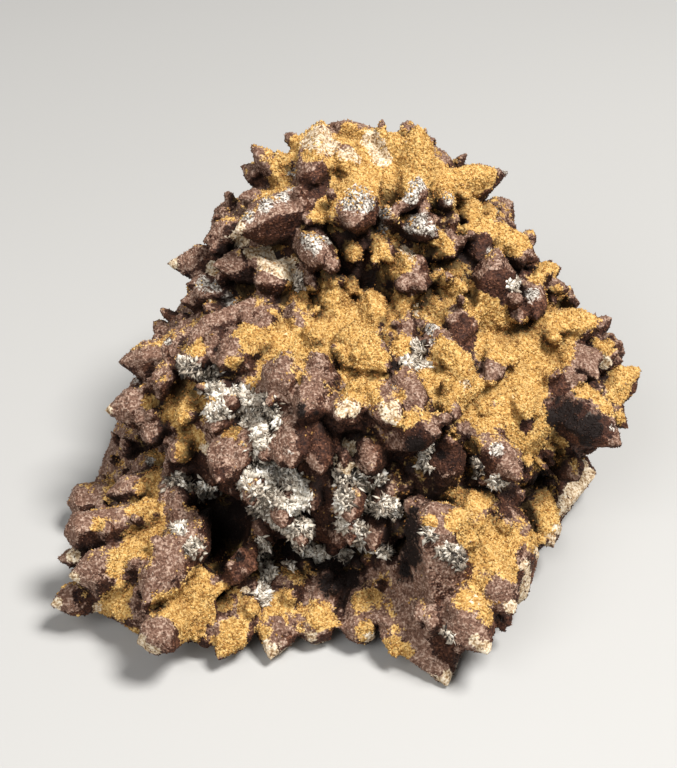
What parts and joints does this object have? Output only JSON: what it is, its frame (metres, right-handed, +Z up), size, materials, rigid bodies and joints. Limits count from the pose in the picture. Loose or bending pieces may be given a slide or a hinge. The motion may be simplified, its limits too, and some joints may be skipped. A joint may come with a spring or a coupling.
{
  "type": "dogtooth calcite cluster",
  "caption": "Mound of stubby tooth-shaped calcite crystals grown together on matrix, coated in dark brown and ochre iron oxide; a display specimen that rests on its flat underside.",
  "frame": {"origin": "middle of the bounding box's bottom face, on the surface that the cluster stands on", "axes": "+Z up from the flat underside, -Y towards the front with the terrace and the undercut, +X to the right as seen from the front"},
  "size_m": [0.124, 0.1168, 0.0784],
  "materials": {
    "oxide_crust": "matte",
    "ochre_coat": "matte",
    "white_calcite": "satin"
  },
  "bodies": {
    "root": {"calcite_cluster": "oxide_crust"}
  },
  "joints": []
}
